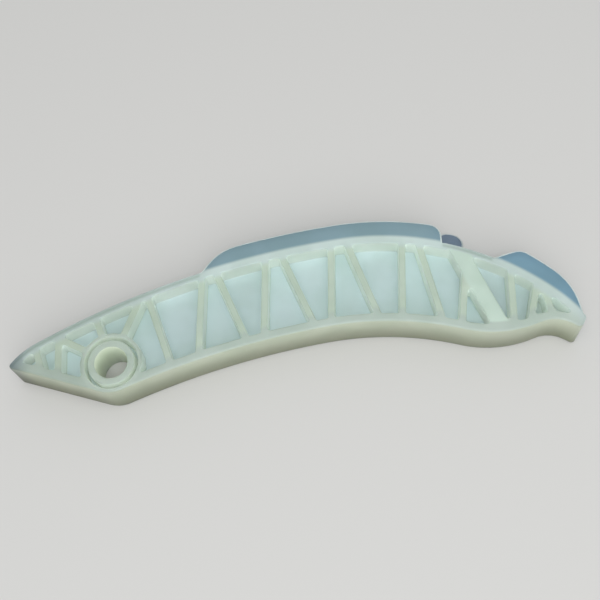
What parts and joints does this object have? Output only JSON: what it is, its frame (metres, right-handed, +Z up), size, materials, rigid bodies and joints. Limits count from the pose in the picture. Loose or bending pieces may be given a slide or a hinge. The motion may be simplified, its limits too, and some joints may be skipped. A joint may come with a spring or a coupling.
{
  "type": "timing chain guide",
  "caption": "Curved, ribbed nylon arm with a pivot bore at its tail, a convex track with side wings for a timing chain, and a rounded pad on its back for a tensioner.",
  "frame": {"origin": "centre of the pivot bore on the arm's far side, on which it lies", "axes": "+X along the arm from the pivot towards the toe, +Y towards the chain track, +Z up along the pivot axis"},
  "size_m": [0.1749, 0.0565, 0.014],
  "materials": {
    "nylon": "satin, milky natural nylon"
  },
  "bodies": {
    "root": {"guide_arm": "nylon"}
  },
  "joints": []
}
